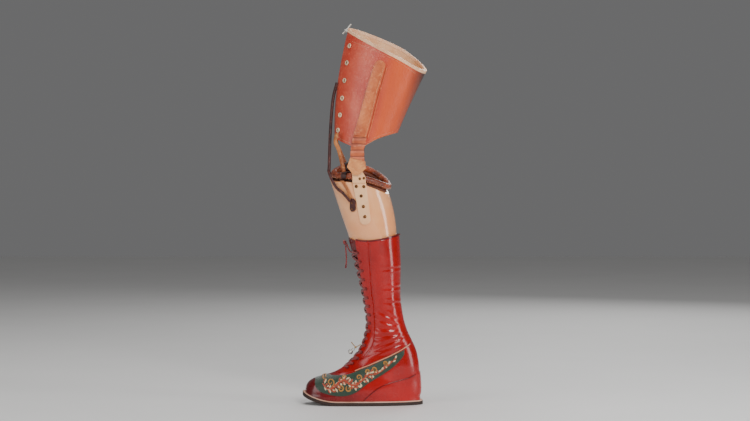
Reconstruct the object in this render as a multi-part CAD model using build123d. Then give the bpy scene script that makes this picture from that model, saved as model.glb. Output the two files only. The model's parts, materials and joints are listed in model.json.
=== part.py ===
"""Below-knee prosthetic leg with a laced leather thigh corset and a knee-high wedge boot.

Millimetres, +Z up. The origin lies on the sole's flat face, straight below the knee axis.
-X is the front (toe), -Y is the inner (medial) side, +Y the outer (lateral) side of a right leg.
"""

from build123d import *
import os
from math import cos, pi, radians, sin, tan

# ---------------------------------------------------------------- driving dimensions
KNEE_HEIGHT = 478
THIGH_TILT = 14  # lean of the thigh bars, top towards the back
RIM_LEAN = 10  # the corset's rim is higher on the lateral side
BRIM_LEAN = 14  # so is the socket's brim

# Horizontal slices: height, front x, back x, half width, pinch (narrower front), fullness (1 = ellipse).
SHANK = [
    (118, 23, 103, 29.0, 0.12, 1),
    (143, 24.5, 96, 29.7, 0.12, 1),
    (168, 25, 91, 30.5, 0.12, 1),
    (203, 19, 87, 32.8, 0.12, 1),
    (238, 13, 84, 35.0, 0.12, 1),
    (284, 1, 84, 39.0, 0.12, 1),
    (328, -12, 82, 43.5, 0.12, 1),
    (368, -25.5, 78.5, 47.0, 0.10, 1),
    (408, -39, 70, 49.0, 0.06, 1),
    (440, -49, 60, 49.0, 0.03, 1),
    (475, -60, 48, 48.5, 0.00, 1),
]
BOOT = [
    (2, -99, 130, 41.0, -0.14, 0.80),
    (24, -102.5, 130, 42.0, -0.14, 0.80),
    (40, -98, 130, 41.0, -0.12, 0.82),
    (50, -87, 129.5, 39.5, -0.07, 0.85),
    (57, -66, 129, 38.0, 0.00, 0.88),
    (64, -44, 128, 37.0, 0.06, 0.90),
    (73, -28, 127, 36.0, 0.10, 0.92),
    (88, -12, 125, 34.5, 0.12, 0.95),
    (106, 3.5, 121, 33.5, 0.13, 1),
    (120, 11, 115.5, 33.0, 0.12, 1),
    (134, 15.5, 108.5, 32.5, 0.12, 1),
    (150, 19, 101.5, 33.0, 0.12, 1),
    (168, 20, 96, 34.5, 0.12, 1),
    (188, 17.2, 92.3, 36.0, 0.12, 1),
    (208, 14, 89.5, 37.5, 0.12, 1),
    (238, 8, 89, 39.5, 0.12, 1),
    (261, 2, 89.3, 41.5, 0.12, 1),
    (284, -4, 89.5, 43.5, 0.12, 1),
    (305, -10.3, 88.6, 45.2, 0.12, 1),
    (326, -16.5, 87.5, 46.9, 0.12, 1),
    (346, -22.5, 86.5, 48.5, 0.12, 1),
]
# The corset's slices stand on the thigh's own axis: heights run from the knee along the tilted bars.
CORSET = [
    (20, -50, 54, 53.0, 0.16, 1),
    (50, -58, 60.5, 56.0, 0.18, 1),
    (90, -67.5, 66.5, 60.5, 0.20, 1),
    (145, -76, 76, 66.5, 0.23, 1),
    (205, -80.5, 88.5, 72.5, 0.25, 1),
    (280, -80, 103, 79.0, 0.25, 1),
]
SLICE_POINTS = 24

LEATHER = 4.0  # corset hide
LINING = 1.8
SHELL = 3.0  # shin shell wall
LINER = 2.0  # leather socket inside the shell
UPPER = 2.2  # boot hide
GAP = 0.15  # clearance between nested skins

# Knee joint stack, outwards from the leg's middle plane
JOINT_INNER_Y = 52.5
BAR_THICKNESS = 3.0
JOINT_CLEARANCE = 0.4
PIN_RADIUS = 3.0
PIN_RUNNING = 0.05
HEAD_RADIUS = 11

# Sole
TOE_SPRING_X = -36
TOE_SPRING_RADIUS = 150
OUTSOLE = 6.5
WELT = 2.0
SOLE_OVERHANG = 4.0
FLOOR = OUTSOLE + WELT + 0.1  # where the upper starts, on the flat stretch
WEDGE_TOE_X = 14

SIDES = {"medial": -1, "lateral": 1}
BIG = 400
parts = {}
stacks = {}


# ---------------------------------------------------------------- shared shapes
def slice_face(z, front, back, half, pinch, fullness, grow):
    """One horizontal egg-shaped face; grow moves its outline outwards."""
    front, back, half = front - grow, back + grow, half + grow
    middle, reach = (front + back) / 2, (back - front) / 2
    points = []
    for i in range(SLICE_POINTS):
        turn = 2 * pi * i / SLICE_POINTS
        c, s = cos(turn), sin(turn)
        x = middle - reach * (abs(c) ** fullness) * (1 if c > 0 else -1)
        y = half * (abs(s) ** fullness) * (1 if s > 0 else -1) * (1 - pinch * c)
        points.append((x, y, z))
    return Face(Wire([Spline(*points, periodic=True)]))


def stack(slices, grow=0.0):
    """A smooth solid through the slices; each one is built once and kept."""
    key = (slices[0], grow)
    if key not in stacks:
        stacks[key] = loft([slice_face(*row, grow) for row in slices])
    return stacks[key]


def prism(points, width=BIG, closed_by=()):
    """A side-view outline, x and z, drawn as a smooth curve then straight edges, made solid across Y."""
    curve = Spline(*points) if len(points) > 2 else Line(*points)
    edges = curve + Polyline(points[-1], *closed_by, points[0]) if closed_by else curve
    return extrude(Plane.XZ * make_face(edges), width / 2, both=True)


def outline_prism(points, width=BIG):
    """A straight-sided side-view outline made solid across Y."""
    return extrude(Plane.XZ * make_face(Polyline(*points, close=True)), width / 2, both=True)


def strip_prism(centre_line, widths, width=BIG):
    """A tapering strip in side view, given its middle points and its width at each."""
    left = [(x - w / 2, z) for (x, z), w in zip(centre_line, widths)]
    right = [(x + w / 2, z) for (x, z), w in zip(centre_line, widths)]
    return outline_prism(left + right[::-1], width)


def half_space(side):
    """Everything on one side of the middle plane."""
    return Pos(0, side * BIG / 2, 0) * Box(2 * BIG, BIG, 4 * BIG)


def rod(start, end, radius):
    """A round bar between two points."""
    axis = Vector(*end) - Vector(*start)
    return Plane(origin=start, z_dir=axis) * extrude(Circle(radius), axis.length)


def tube_along(points, radii, radius):
    """A round tube along straight runs joined by tangent arcs."""
    path = FilletPolyline(*points, radius=radii)
    section = Plane(origin=points[0], z_dir=Vector(*points[1]) - Vector(*points[0])) * Circle(radius)
    return sweep(section, path=path)


def arc_radii(points):
    """The largest tangent arc that each corner's two runs allow."""
    radii = []
    for before, corner, after in zip(points, points[1:], points[2:]):
        run_in = Vector(*corner) - Vector(*before)
        run_out = Vector(*after) - Vector(*corner)
        half_turn = radians(run_in.get_angle(run_out)) / 2
        radii.append(0.45 * min(run_in.length, run_out.length) / tan(half_turn))
    return radii


def thigh(shape):
    """Carries a shape from the thigh's own axes, with the knee at their origin, into the row's frame."""
    return Pos(0, 0, KNEE_HEIGHT) * Rot(0, THIGH_TILT, 0) * shape


def surface_point(slices, height, x, side, grow=0.0):
    """The point of a slice's outline at that height and x, on one side, and the outward normal."""
    for low, high in zip(slices, slices[1:]):
        if low[0] <= height <= high[0]:
            share = (height - low[0]) / (high[0] - low[0])
            front, back, half, pinch = [low[k] + share * (high[k] - low[k]) for k in (1, 2, 3, 4)]
    front, back, half = front - grow, back + grow, half + grow
    middle, reach = (front + back) / 2, (back - front) / 2
    c = (middle - x) / reach
    s = (1 - c * c) ** 0.5
    y = half * s * (1 - pinch * c)
    slope = half * (c * (1 - pinch * c) + pinch * s * s) / (reach * s)
    return Vector(x, side * y, height), Vector(-slope, side, 0).normalized()


def row_at(slices, height):
    """The slice at a height, curved smoothly between its neighbours."""
    i = next(k for k in range(1, len(slices) - 2) if height <= slices[k + 1][0])
    before, low, high, after = slices[i - 1 : i + 3]
    step = high[0] - low[0]
    t = (height - low[0]) / step
    row = [height]
    for k in range(1, len(low)):
        slope_low = (high[k] - before[k]) / (high[0] - before[0]) * step
        slope_high = (after[k] - low[k]) / (after[0] - low[0]) * step
        ends = (2 * t**3 - 3 * t**2 + 1) * low[k] + (3 * t**2 - 2 * t**3) * high[k]
        row.append(ends + (t**3 - 2 * t**2 + t) * slope_low + (t**3 - t**2) * slope_high)
    return row


def leaned(shape, angle, height):
    """Leans a shape about the X direction at a height, lateral side up."""
    return Pos(0, 0, height) * Rot(angle, 0, 0) * Pos(0, 0, -height) * shape


def below_curve(points, drop=0.0):
    """Everything under a side-view curve moved down by drop."""
    first, last = points[0][0], points[-1][0]
    return prism([(x, z - drop) for x, z in points], closed_by=[(last, -BIG), (first, -BIG)])


def above_curve(points, drop=0.0):
    first, last = points[0][0], points[-1][0]
    return prism([(x, z - drop) for x, z in points], closed_by=[(last, 2 * BIG), (first, 2 * BIG)])


def slab(low, high):
    """Everything between two heights."""
    return Pos(0, 0, (low + high) / 2) * Box(2 * BIG, 2 * BIG, high - low)


def skin(slices, inner, outer):
    """The layer between two offsets of a stack."""
    return stack(slices, outer) - stack(slices, inner)


# ---------------------------------------------------------------- shin shell, socket and brim
ROLL_RADIUS = 7.7
ROLL_HALF_WIDTH = 41
ROLL_MIDDLE = 10.5
ROLL_HALF_LENGTH = 53.5
SHELL_DROP = ROLL_RADIUS + 2  # from the roll's centre line to the shell's top edge, square to both
LOOP_WALL = (0.5, 1.5)  # inside and outside of the leather wound on the roll
SOCKET_FLOOR = 300
SHELL_FOOT = 118
ANKLE_X = 63
ANKLE_BOLT_RADIUS = 5.0


def roll_height(x):
    """Height of the roll's centre line on the middle plane: a low arch, falling towards the back."""
    return 465 - 0.0046 * (x + 14) ** 2


def under_brim():
    line = []
    for x in (-90, -60, -30, 0, 30, 60, 100):
        slope = -0.0092 * (x + 14)
        drop = SHELL_DROP / (1 + slope * slope) ** 0.5
        line.append((x + slope * drop, roll_height(x) - drop))
    return leaned(below_curve(line), BRIM_LEAN, 455)


def make_shin_shell(brim):
    """A hollow shell, open at both ends; the cup and the ankle block close it."""
    return (stack(SHANK) & slab(SHELL_FOOT + 0.5, 2 * BIG) & brim) - stack(SHANK, -SHELL)


def make_socket_liner(brim):
    outside = stack(SHANK, -SHELL - GAP) & slab(SOCKET_FLOOR - 1 + GAP, 2 * BIG) & brim
    inside = stack(SHANK, -SHELL - GAP - LINER) & slab(SOCKET_FLOOR + LINER, 2 * BIG)
    return outside - inside


def make_brim_roll():
    """A padded ring round the socket's mouth, lofted in two halves."""
    points = []
    for i in range(24):
        x = ROLL_MIDDLE - ROLL_HALF_LENGTH * cos(2 * pi * i / 24)
        y = ROLL_HALF_WIDTH * sin(2 * pi * i / 24)
        points.append((x, y, roll_height(x) + y * tan(radians(BRIM_LEAN))))
    ring = Spline(*points, periodic=True)
    halves = []
    for start in (0, 8):
        sections = []
        for i in range(start, start + 9):
            u = (i % 16) / 16
            square = Plane(origin=ring @ u, z_dir=ring % u, x_dir=(0, 0, 1))
            sections.append((square * Circle(ROLL_RADIUS)).face())
        halves.append(loft(sections))
    return halves[0] + halves[1]


def make_ankle_block():
    plug = stack(SHANK, -SHELL - GAP) & slab(SHELL_FOOT, SHELL_FOOT + 44 - GAP)
    bolt_way = Pos(ANKLE_X, 0, SHELL_FOOT + 22) * Cylinder(ANKLE_BOLT_RADIUS + GAP, 60)
    head_room = Pos(ANKLE_X, 0, SHELL_FOOT + 44) * Cylinder(11, 20)
    return plug - bolt_way - head_room


# ---------------------------------------------------------------- knee joints and bars
LOWER_BAR_LINE = [(6.5, 448), (9.4, 428), (13, 408), (16, 388), (18.6, 371)]
LOWER_BAR_WIDTHS = [26, 26, 24, 23, 22]
NECK_FOOT = 443
SHELL_RIVETS = [(1.5, 436), (15.5, 435.5), (11, 417), (15.5, 396), (18.5, 376)]
NECK_RIVETS = [(8, 451), (16, 452)]
RIVET_RADIUS = 2.2
RIVET_SEAT = 3.4  # underside of a rivet's head, off the shell
BAR_WIDTH = 14
BAR_LIFT = 1.0  # gap between the corset and the steel bar
UPPER_BAR_TOP = 196
COVER_THICKNESS = 6.5
COVER_LINE = [(-5.5, 57.4), (-4, 100), (-3.5, 150), (-1, 200)]
COVER_WIDTHS = [25, 24, 23, 22]
WRAP_LINE = [(0, 12), (-5, 34), (-5, 57)]
WRAP_WIDTHS = [28, 26, 26]
WRAP_DEPTH = 9.5
CAP_OUTLINE = [(-14, 11.5), (-15.5, -8), (0.5, -19.5), (10.5, -17), (21, -2), (16, 11.5)]


def joint_y(layer):
    """Inner face of the lower bar (0), the upper bar (1) or the space outside both (2)."""
    return JOINT_INNER_Y + layer * (BAR_THICKNESS + JOINT_CLEARANCE)


def disc(side, inner_y, thickness, radius):
    """A disc across Y about the knee axis, in axes that start at the knee."""
    return Pos(0, side * (inner_y + thickness / 2), 0) * Rot(90, 0, 0) * Cylinder(radius, thickness)


def band(side, inner_y, outer_y):
    """Everything between two distances from the middle plane, on one side."""
    return Pos(0, side * (inner_y + outer_y) / 2, 0) * Box(2 * BIG, outer_y - inner_y, 4 * BIG)


def make_lower_bar(side):
    """Riveted round the shell below, flat and clear of the brim roll above."""
    x, z = LOWER_BAR_LINE[-1]
    rounded_end = Pos(x, 0, z) * Rot(90, 0, 0) * Cylinder(LOWER_BAR_WIDTHS[-1] / 2, BIG)
    outline = strip_prism(LOWER_BAR_LINE, LOWER_BAR_WIDTHS) + rounded_end
    plate = skin(SHANK, GAP, 2.6) & (outline & half_space(side))
    step = Pos(6.5, 0, NECK_FOOT + 2.5) * Box(26, BIG, 5)
    step = (step & band(side, JOINT_INNER_Y - 5, joint_y(0) + BAR_THICKNESS)) - stack(SHANK, GAP)
    neck_outline = [(-6.5, NECK_FOOT), (19.5, NECK_FOOT), (19.5, 454), (10, 471), (-10, 471), (-6.5, 456)]
    neck = outline_prism(neck_outline) & band(side, joint_y(0), joint_y(0) + BAR_THICKNESS)
    head = Pos(0, 0, KNEE_HEIGHT) * disc(side, joint_y(0), BAR_THICKNESS, HEAD_RADIUS)
    pin_hole = Pos(0, 0, KNEE_HEIGHT) * disc(side, joint_y(0) - 1, BAR_THICKNESS + 2, PIN_RADIUS)
    bar = plate + step + neck + head - pin_hole
    for x, z in SHELL_RIVETS:
        point, normal = surface_point(SHANK, z, x, side)
        bar -= rod(point - normal * 6, point + normal * 9, RIVET_RADIUS)
    for x, z in NECK_RIVETS:
        hole = Pos(x, side * 54, z) * Rot(90, 0, 0) * Cylinder(RIVET_RADIUS, 12)
        bar -= hole
    return bar


def make_lower_rivets(side):
    """Domed rivets: five through the bar into the shell's wall, two through the neck."""
    rivets = []
    for x, z in SHELL_RIVETS:
        point, normal = surface_point(SHANK, z, x, side)
        stem = rod(point + normal * 0.9, point + normal * RIVET_SEAT, RIVET_RADIUS - 0.1)
        dome = Plane(origin=point + normal * (RIVET_SEAT - 2.3), z_dir=normal) * Sphere(4.0)
        outer = Plane(origin=point + normal * RIVET_SEAT, z_dir=normal) * Pos(0, 0, 5) * Box(20, 20, 10)
        rivets.append(stem + (dome & outer))
    for x, z in NECK_RIVETS:
        outer_face = joint_y(0) + BAR_THICKNESS
        seat = outer_face + 0.1
        stem = Pos(x, side * (seat - 1.4), z) * Rot(90, 0, 0) * Cylinder(RIVET_RADIUS - 0.1, 2.8)
        dome = Pos(x, side * (seat - 2.3), z) * Sphere(3.6)
        rivets.append(stem + (dome & band(side, seat, seat + 5)))
    return Compound(children=rivets)


def make_knee_pin(side):
    """Riveted in the lower bar; the upper bar turns on it."""
    stem = disc(side, joint_y(0), 2 * BAR_THICKNESS + JOINT_CLEARANCE + 0.4, PIN_RADIUS)
    head = disc(side, joint_y(2), 1.2, PIN_RADIUS + 2)
    return Pos(0, 0, KNEE_HEIGHT) * (stem + head)


def bar_way(side, margin=0.0):
    """The space of the flared part of an upper bar, with a margin round it."""
    width = BAR_WIDTH + 2 * margin
    length = Pos(-1, 0, (24 + UPPER_BAR_TOP + margin) / 2) * Box(width, BIG, UPPER_BAR_TOP + margin - 24)
    return skin(CORSET, BAR_LIFT - margin, BAR_LIFT + BAR_THICKNESS + margin) & length & half_space(side)


def make_upper_bar(side):
    """Flat at the knee, then flared along the corset's side."""
    foot = Pos(-0.5, side * (joint_y(1) + BAR_THICKNESS / 2), 17) * Box(BAR_WIDTH + 1, BAR_THICKNESS, 34)
    head = disc(side, joint_y(1), BAR_THICKNESS, HEAD_RADIUS)
    bore = disc(side, joint_y(1) - 1, BAR_THICKNESS + 2, PIN_RADIUS + PIN_RUNNING)
    return (foot + bar_way(side) + head) - bore


def make_bar_cover(side):
    """Leather sheath stitched to the corset over the steel bar."""
    x, z = COVER_LINE[-1]
    rounded_end = Pos(x, 0, z) * Rot(90, 0, 0) * Cylinder(COVER_WIDTHS[-1] / 2, BIG)
    outline = strip_prism(COVER_LINE, COVER_WIDTHS) + rounded_end
    sheath = skin(CORSET, GAP + 0.1, COVER_THICKNESS) & outline & half_space(side)
    return sheath - bar_way(side, GAP)


def make_bar_wrap(side):
    """Leather wound round the bar between the corset's hem and the knee."""
    outer = joint_y(1) + BAR_THICKNESS + 3.2
    low = strip_prism(WRAP_LINE, WRAP_WIDTHS) & band(side, outer - WRAP_DEPTH, outer + 3)
    foot = Pos(-0.5, side * (joint_y(1) + BAR_THICKNESS / 2), 17)
    foot = foot * Box(BAR_WIDTH + 1 + 2 * GAP, BAR_THICKNESS + 2 * GAP, 34 + 2 * GAP)
    return low - foot - bar_way(side, GAP) - stack(CORSET, GAP + 0.1)


def make_joint_cap(side):
    """Leather hood over the outer face of the joint, pointed below."""
    inner = joint_y(2) + 1.5
    return outline_prism(CAP_OUTLINE) & band(side, inner, inner + 3)


# ---------------------------------------------------------------- thigh corset
RIM_LINE = [(-100, 257), (-56, 251), (-35, 247.3), (-14, 243.2), (8, 238.7), (30, 233.9), (53, 226.5),
            (115, 203)]
HEM_LINE = [(-90, 56), (-56, 44), (-43, 39), (-19, 34.5), (-10, 33), (10, 44), (25, 58), (42, 70),
            (130, 118)]
EYELETS = [(-68, 226), (-65, 192), (-61, 157), (-57, 122), (-53, 89), (-49.7, 58.7)]
EYELET_RADIUS = 4.5
EYELET_HOLE = 2.5
FRONT_GAP = 10.5
BINDING_HEIGHT = 5.5


def rim(rise=0.0):
    """Everything under the rim moved up by rise."""
    return leaned(below_curve(RIM_LINE, -rise), RIM_LEAN, 240)


def front_slot(half_width):
    return Pos(-60, 0, 170) * Box(80, 2 * half_width, 400)


def eyelet_rods(inwards, outwards, radius):
    rods = []
    for x, z in EYELETS:
        for side in SIDES.values():
            point, normal = surface_point(CORSET, z, x, side)
            rods.append(rod(point - normal * inwards, point + normal * outwards, radius))
    return rods


def make_corset_shell(trim):
    return (skin(CORSET, -LEATHER, 0) & trim) - front_slot(FRONT_GAP) - eyelet_rods(14, 9, EYELET_HOLE + 0.9)


def make_corset_lining(trim):
    wall = skin(CORSET, -LEATHER - GAP - LINING, -LEATHER - GAP) & trim
    return wall - front_slot(FRONT_GAP + 2) - eyelet_rods(14, 9, EYELET_HOLE + 0.9)


def make_corset_rim_binding():
    """Pale folded edge standing on the rim."""
    wall = skin(CORSET, -LEATHER - GAP - LINING - 0.6, 0.8)
    return (wall & rim(BINDING_HEIGHT)) - rim(GAP) - front_slot(FRONT_GAP)


def make_corset_eyelets():
    barrels = eyelet_rods(LEATHER + 1.5, 1.8, EYELET_HOLE + 0.7)
    flanges = []
    for x, z in EYELETS:
        for side in SIDES.values():
            point, normal = surface_point(CORSET, z, x, side)
            flanges.append(rod(point + normal * 1.3, point + normal * 2.1, EYELET_RADIUS))
    holes = eyelet_rods(20, 20, EYELET_HOLE)
    trios = zip(barrels, flanges, holes)
    return Compound(children=[barrel + flange - hole for barrel, flange, hole in trios])


def make_corset_tongue(trim):
    """Soft leather strip behind the open front edges."""
    depth = LEATHER + 2 * GAP + LINING
    front = Pos(-60, 0, 170) * Box(76, 44, 400)
    return skin(CORSET, -depth - 2, -depth) & trim & front


# ---------------------------------------------------------------- boot
WEDGE_LINE = [(WEDGE_TOE_X, FLOOR), (28, 22), (44, 34), (60, 42), (80, 48), (104, 54), (120, 61), (145, 71)]
SEAM_LINE = [(-140, 68), (-38, 64), (-12, 65), (8, 73), (28, 81), (48, 90), (68, 99), (96, 114), (150, 150)]
TOP_LINE = [(-150, 337), (-30, 335), (-14, 332), (0, 328), (54, 330), (84, 337), (150, 344)]
TOE_CAP_LINE = [(-73, 70), (-74, 55), (-82, 40), (-84, 30), (-76, 20), (-70, 0)]
FACING_LINE = [(12, 92), (32, 118), (36, 138), (36, 168), (34, 198), (30, 228), (28, 258), (26, 288),
               (24, 345)]
PANEL_TOP = [(97, 111), (68, 97), (48, 88), (28, 79), (8, 71), (-12, 63), (-30, 60), (-80, 62)]
PANEL_FOOT = [(-82, 46), (-75, 31), (-58, 23.5), (-32, 19.5), (-12, 22), (2, 28), (18, 40), (38, 53),
              (78, 80), (96, 101)]
OPENING = [(62, 4), (88, 9), (114, 13), (140, 15), (176, 15), (214, 17), (250, 20), (286, 26), (350, 36)]
LACE_EYELETS = [(-16, 74), (-6, 82), (4, 92), (12, 104), (19, 118), (24, 132), (28, 147), (29, 163),
                (29, 180), (27, 197), (24, 214), (21, 232), (17, 250), (14, 268), (10, 286), (5, 304)]
LACE_WIDTH = 3.4
LACE_LIFTS = (3.3, 1.9)  # its outer and inner faces off the boot
FOOT_TOP = 117
INSOLE = 2.6
BOW_X = -18.5
BOW_Z = 322
BELL_KNOT = (-1, 0, 113)
BELL_CENTRE = (-11, 0, 104)
BELL_RADIUS = 5.0


def above_sole(height):
    """Everything above the sole's own curve moved up by height: flat behind, sprung at the toe."""
    radius = TOE_SPRING_RADIUS - height
    toe = CenterArc((TOE_SPRING_X, TOE_SPRING_RADIUS), radius, 270, -36)
    flat = Line((TOE_SPRING_X, height), (BIG / 2, height))
    rest = Polyline(flat @ 1, (BIG / 2, BIG), (-BIG / 2, BIG), (-BIG / 2, (toe @ 1).Y), toe @ 1)
    return extrude(Plane.XZ * make_face(toe + flat + rest), BIG / 2, both=True)


def footprint(grow, low, high):
    """An upright block with the sole's outline."""
    return extrude(slice_face(low, -103, 130, 42, -0.14, 0.80, grow), high - low, dir=(0, 0, 1))


def front_opening(margin=0.0):
    """The laced gap down the front, wider towards the top."""
    left = [(-y - margin, z) for z, y in OPENING]
    right = [(y + margin, z) for z, y in OPENING]
    outline = Plane.YZ * make_face(Polyline(*left, *right[::-1], close=True))
    return Pos(-120, 0, 0) * extrude(outline, 160, dir=(1, 0, 0))


def boot_floor():
    """Everything above the sole in front and the wedge behind."""
    return above_sole(FLOOR) & above_curve([(-BIG / 2, FLOOR)] + WEDGE_LINE)


def make_boot_wall():
    """The whole upper, still in one piece; it's split along its seams below."""
    wall = skin(BOOT, -UPPER, 0) & boot_floor()
    return wall & below_curve(TOP_LINE)


def toe_side():
    """Everything in front of the toe cap's edge."""
    edge = Spline(*TOE_CAP_LINE)
    rest = Polyline(edge @ 1, (-BIG, 0), (-BIG, 70), edge @ 0)
    return extrude(Plane.XZ * make_face(edge + rest), BIG / 2, both=True)


def facing_side():
    """Everything in front of the lacing facing's rear seam."""
    edge = Spline(*FACING_LINE)
    rest = Polyline(edge @ 1, (-BIG, 345), (-BIG, 92), edge @ 0)
    return extrude(Plane.XZ * make_face(edge + rest), BIG / 2, both=True)


def make_silk_panel():
    """Appliqué laid on the vamp, wrapping over the instep."""
    top, foot = Spline(*PANEL_TOP), Spline(*PANEL_FOOT)
    outline = top + Line(top @ 1, foot @ 0) + foot + Line(foot @ 1, top @ 0)
    panel = skin(BOOT, GAP, 1.0) & extrude(Plane.XZ * make_face(outline), BIG / 2, both=True)
    return panel - front_opening(2)


def make_boot_tongue():
    front = front_opening(3) & slab(78, 340) & below_curve(TOP_LINE)
    return (stack(BOOT, -UPPER - GAP) & front) - stack(BOOT, -UPPER - 1.1)


def make_boot_lace():
    """Bars of lace lying across the opening from eyelet to eyelet."""
    bars = []
    for x, z in LACE_EYELETS:
        point, _ = surface_point(BOOT, z, x, 1)
        rows = [row_at(BOOT, z - LACE_WIDTH), row_at(BOOT, z + LACE_WIDTH)]
        outer, inner = [loft([slice_face(*row, lift) for row in rows], ruled=True) for lift in LACE_LIFTS]
        reach = Pos(x - 30, 0, z) * Box(60, 2 * point.Y, LACE_WIDTH)
        bars.append((outer & reach) - inner)
    return Compound(children=bars)


def make_lace_bow():
    """Knot and two flat loops at the top of the lacing."""
    bow = Pos(BOW_X, 0, BOW_Z) * scale(Sphere(4), by=(0.85, 1.3, 0.9))
    for side in SIDES.values():
        loop = scale(Sphere(6), by=(0.42, 1.6, 0.85)) - scale(Sphere(6), by=(0.9, 1.15, 0.42))
        bow += Pos(BOW_X, side * 12, BOW_Z + 1) * loop
    return bow


def make_lace_tail(side):
    """A free end of the lace hanging from the bow."""
    x = BOW_X
    points = [(x - 2, side * 4, BOW_Z - 4), (x - 1.5, side * 8, BOW_Z - 18)]
    points += [(x, side * 9, BOW_Z - 36), (x - 2, side * 11, BOW_Z - 50)]
    return tube_along(points, arc_radii(points), 1.3)


def make_ankle_bolt():
    """Cap screw joining the foot block to the shin."""
    stem = Pos(ANKLE_X, 0, 119) * Cylinder(ANKLE_BOLT_RADIUS, 70)
    head = Pos(ANKLE_X, 0, 155.2) * Cylinder(8.5, 6)
    return stem + head


def make_foot_block():
    """Carved foot filling the boot, under the shin."""
    foot = stack(BOOT, -UPPER - 2.4) & Pos(0, 0, INSOLE + 0.1) * boot_floor() & slab(0, FOOT_TOP)
    bolt_way = Pos(ANKLE_X, 0, 100) * Cylinder(ANKLE_BOLT_RADIUS + GAP, 64)
    return foot - bolt_way


def make_insole():
    layer = boot_floor() - Pos(0, 0, INSOLE) * boot_floor()
    return layer & stack(BOOT, -UPPER - 0.2)


def make_outsole():
    return footprint(SOLE_OVERHANG, -1, 60) & (above_sole(0) - above_sole(OUTSOLE))


def make_welt():
    """Pale strip between the sole and the upper."""
    return footprint(SOLE_OVERHANG - 1, -1, 60) & (above_sole(OUTSOLE + 0.05) - above_sole(OUTSOLE + WELT))


def make_wedge_heel():
    return stack(BOOT, 1) & above_sole(FLOOR) & below_curve([(-BIG / 2, FLOOR)] + WEDGE_LINE)


def make_top_binding():
    """Narrow folded edge along the boot's top."""
    edge = skin(BOOT, -UPPER, 0.8) & below_curve(TOP_LINE, -3.5)
    return edge - below_curve(TOP_LINE, -GAP) - front_opening()


# ---------------------------------------------------------------- bell
def make_bell():
    """Small spherical bell, slotted crosswise underneath, with its hanging loop."""
    hollow = Sphere(BELL_RADIUS) - Sphere(BELL_RADIUS - 0.7)
    slots = [Pos(0, 0, -BELL_RADIUS) * Box(1, 8, 6), Pos(0, 0, -BELL_RADIUS) * Box(8, 1, 6)]
    up = (Vector(*BELL_KNOT) - Vector(*BELL_CENTRE)).normalized()
    loop = Plane(origin=up * (BELL_RADIUS + 2.1), z_dir=(0, 1, 0)) * Torus(2.6, 0.6)
    return Pos(*BELL_CENTRE) * (hollow - slots + loop)


def make_bell_ribbon():
    """Gold ribbon knotted over the lace, with two free ends."""
    knot = Pos(*BELL_KNOT) * scale(Sphere(2.7), by=(0.9, 1.5, 0.9))
    x, _, z = BELL_KNOT
    pin = rod((x, -5.5, z), (x, 5.5, z), 1.2)  # the bell swings about it
    return knot + pin + rod(BELL_KNOT, (-10, -3, 124), 0.9) + rod(BELL_KNOT, (10, -14, 120), 0.9)


# ---------------------------------------------------------------- straps and cords
THONG_RADIUS = 2.8
SIDE_STRAP_RADIUS = 3.0
TAB_THICKNESS = 2.6
FRONT_STRAP_RUN = [(-38, 16, 642), (-46, 17, 608), (-51, 19, 548), (-53.5, 22, 478), (-53, 26, 462)]
LOOP_TURN = 55  # where the straps wrap the roll, degrees from its front end


def on_shank(x, z, side, lift):
    """A point standing off the shell's surface."""
    point, normal = surface_point(SHANK, z, x, side)
    return tuple(point + normal * lift)


def make_front_strap(side):
    """Long thong from the corset's front edge, past the knee, to the tab on the shell."""
    points = [(x, side * y, z) for x, y, z in FRONT_STRAP_RUN]
    points += [on_shank(-36, 436, side, 5.2), on_shank(-22, 423, side, 5.2), on_shank(-9, 407, side, 6.2)]
    return tube_along(points, arc_radii(points), THONG_RADIUS)


def make_side_strap(side):
    """Shorter strap from the lowest eyelet to the wrap round the brim roll."""
    drop = 12 * side  # the roll is higher on the lateral side
    points = [(-37, side * 40, 541), (-40, side * 42, 524), (-33, side * 44, 506)]
    points.append((-23, side * 46.5, 476 + drop))
    return tube_along(points, arc_radii(points), SIDE_STRAP_RADIUS)


def make_roll_loop(side):
    """Leather wound round the front of the brim roll, where the side strap ends."""
    turn = radians(LOOP_TURN)
    x = ROLL_MIDDLE - ROLL_HALF_LENGTH * cos(turn)
    y = side * ROLL_HALF_WIDTH * sin(turn)
    rise = tan(radians(BRIM_LEAN))
    along_x, along_y = ROLL_HALF_LENGTH * sin(turn), side * ROLL_HALF_WIDTH * cos(turn)
    along_z = -0.0092 * (x + 14) * along_x + along_y * rise
    centre = Plane(origin=(x, y, roll_height(x) + y * rise), z_dir=(along_x, along_y, along_z))
    inner, outer = [ROLL_RADIUS + wall for wall in LOOP_WALL]
    return centre * (Cylinder(outer, 11) - Cylinder(inner, 12))


def make_strap_tab(side):
    """Stitched patch that holds the straps' lower ends."""
    corners = [(-12, 390), (-9, 386), (-3, 386), (0, 390), (0, 407), (-4, 412), (-9, 412), (-12, 408)]
    outline = outline_prism(corners)
    return skin(SHANK, GAP, TAB_THICKNESS) & outline & half_space(side)


def make_anchor_strap(side):
    """Short fixed strap from under the roll down to the tab."""
    outline = strip_prism([(-27, 447), (-18, 432), (-9, 413)], [7, 6, 6])
    return (skin(SHANK, GAP, 2.0) & outline & half_space(side)) - make_strap_tab(side)


def make_tab_nails(side):
    nails = []
    for z in (391, 403):
        point, normal = surface_point(SHANK, z, -6, side)
        seat = TAB_THICKNESS + 0.5
        nails.append(rod(point + normal * seat, point + normal * (seat + 0.9), 1.3))
    return Compound(children=nails)


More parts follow.
